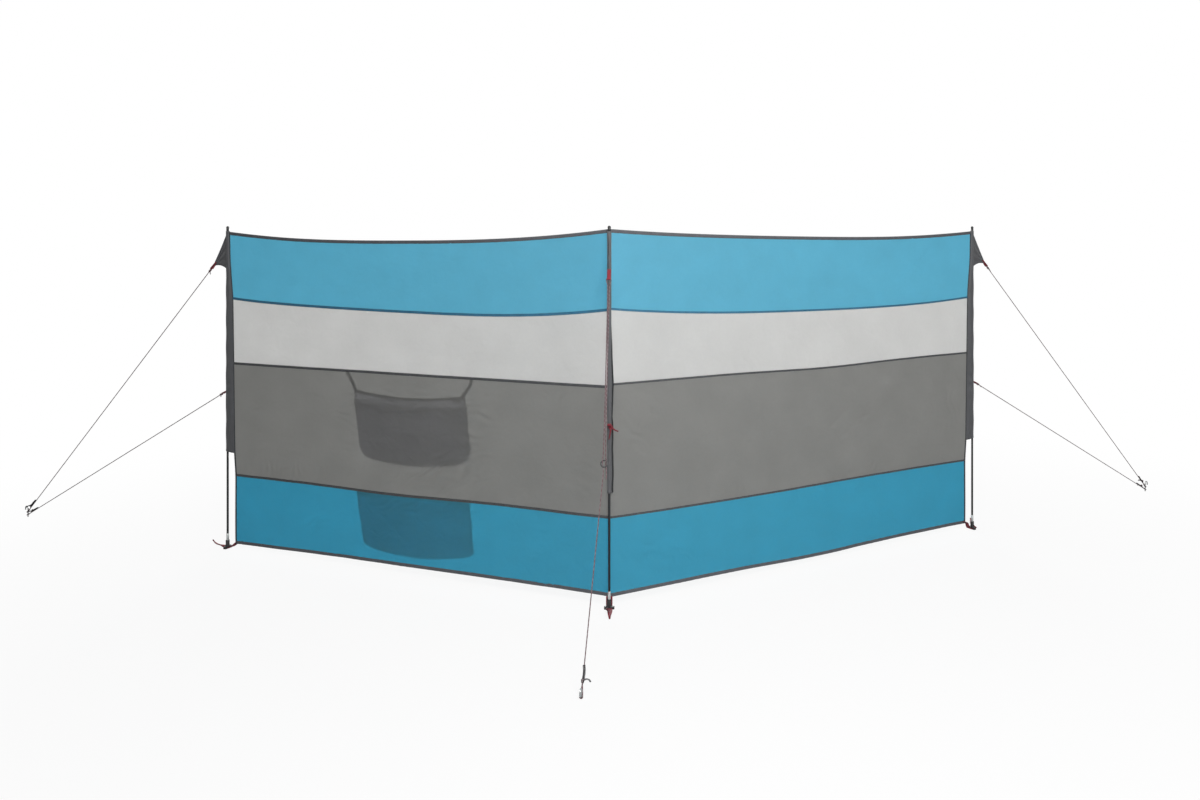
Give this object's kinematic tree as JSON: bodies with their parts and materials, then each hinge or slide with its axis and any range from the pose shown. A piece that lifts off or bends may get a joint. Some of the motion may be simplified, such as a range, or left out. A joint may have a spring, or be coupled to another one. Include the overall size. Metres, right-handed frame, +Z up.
{
  "type": "beach windbreak",
  "caption": "Free-standing beach windbreak: a V of two banded cloth bays on upright rods, with sleeves, gussets, guys, pegs, foot straps and pockets behind one bay.",
  "frame": {"origin": "on the ground under the axis of the middle rod, on the flat base of its foot", "axes": "+Z up; -Y to windward, where the middle guy is pegged; +Y to the sheltered side; +X towards the right-hand bay as seen from windward"},
  "size_m": [5.9618, 2.254, 1.4775],
  "materials": {
    "blue_cloth": "plain woven polyester, light sheen",
    "light_cloth": "thin plain woven polyester, lets light through",
    "grey_cloth": "plain woven polyester, light sheen",
    "binding_tape": "narrow woven tape, stitched",
    "sleeve_cloth": "plain woven polyester",
    "pocket_cloth": "plain woven polyester",
    "dark_webbing": "woven webbing",
    "red_webbing": "woven webbing",
    "guy_cord": "braided cord with flecks",
    "pole_rod": "pulled glass fibre rod, satin black",
    "black_plastic": "moulded",
    "guy_plastic": "moulded",
    "ferrule_metal": "drawn tube, satin",
    "peg_steel": "bent wire, bright"
  },
  "bodies": {
    "root": {"gusset_loops": "red_webbing", "guy_pegs": "peg_steel", "guy_ring": "guy_plastic", "guy_sliders": "guy_plastic", "left_bottom_band": "blue_cloth", "left_bottom_binding": "binding_tape", "left_end_binding": "binding_tape", "left_foot_strap": "red_webbing", "left_grey_band": "grey_cloth", "left_gusset": "sleeve_cloth", "left_light_band": "light_cloth", "left_lower_guy": "guy_cord", "left_pole": "pole_rod", "left_pole_sleeve": "sleeve_cloth", "left_seam_tapes": "binding_tape", "left_top_band": "blue_cloth", "left_top_binding": "binding_tape", "left_upper_guy": "guy_cord", "middle_foot_strap": "red_webbing", "middle_gusset": "sleeve_cloth", "middle_guy": "guy_cord", "middle_pole": "pole_rod", "middle_pole_sleeve": "sleeve_cloth", "pocket_gussets": "pocket_cloth", "pocket_panels": "pocket_cloth", "pocket_straps": "dark_webbing", "pole_caps": "black_plastic", "pole_feet": "black_plastic", "pole_ferrules": "ferrule_metal", "right_bottom_band": "blue_cloth", "right_bottom_binding": "binding_tape", "right_end_binding": "binding_tape", "right_foot_strap": "red_webbing", "right_grey_band": "grey_cloth", "right_gusset": "sleeve_cloth", "right_light_band": "light_cloth", "right_lower_guy": "guy_cord", "right_pole": "pole_rod", "right_pole_sleeve": "sleeve_cloth", "right_seam_tapes": "binding_tape", "right_top_band": "blue_cloth", "right_top_binding": "binding_tape", "right_upper_guy": "guy_cord", "sleeve_loops": "red_webbing"}
  },
  "joints": []
}
